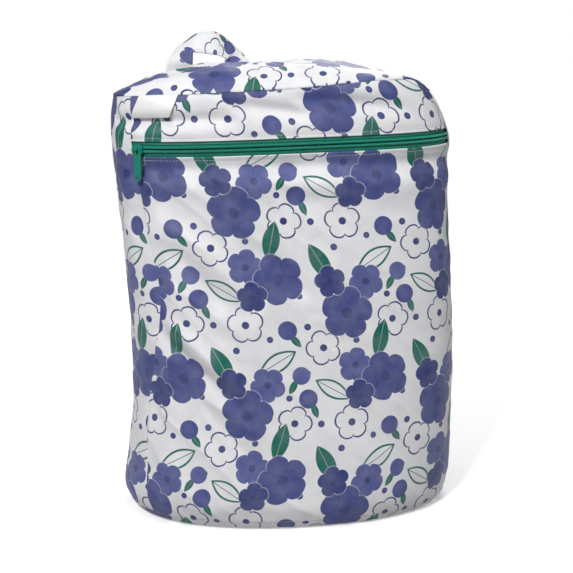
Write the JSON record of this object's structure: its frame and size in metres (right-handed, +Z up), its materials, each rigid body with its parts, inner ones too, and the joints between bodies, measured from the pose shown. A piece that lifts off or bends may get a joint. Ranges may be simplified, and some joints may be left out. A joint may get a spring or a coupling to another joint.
{
  "type": "cloth diaper wet bag",
  "caption": "Free-standing printed cloth wet bag on a rounded base, with a hood closed by a front zip, a domed top and a short looped strap handle at the back.",
  "frame": {"origin": "centre of the floor under the bag, below the middle of its bounding box", "axes": "+Z up, front with the zip towards -Y, +X to the right seen from the front"},
  "size_m": [0.3318, 0.2079, 0.4624],
  "materials": {
    "printed_cloth": "off-white polyester cloth printed in periwinkle blue and leaf green, soft with a faint sheen",
    "zip_tape": "green woven zip tape",
    "zip_coil": "green nylon coil",
    "slider_enamel": "green enamel",
    "satin_tab": "bare white satin"
  },
  "bodies": {
    "bag": {"base_panel": "printed_cloth", "front_panel": "printed_cloth", "hood_front": "printed_cloth", "back_panel": "printed_cloth", "top_panel": "printed_cloth", "zip_tape_lower": "zip_tape", "zip_tape_upper": "zip_tape", "zip_chain": "zip_coil", "handle_strap": "printed_cloth", "woven_tab": "satin_tab", "zip_slider": "slider_enamel"},
    "pull": {"zip_pull": "slider_enamel"}
  },
  "joints": [
    {"name": "pull_swing", "type": "hinge", "parent": "bag", "child": "pull", "pos_m": [-0.14439, -0.05492, 0.36043], "axis": [-0.5463, -0.8376, 0], "range_deg": [-12, 120]}
  ]
}
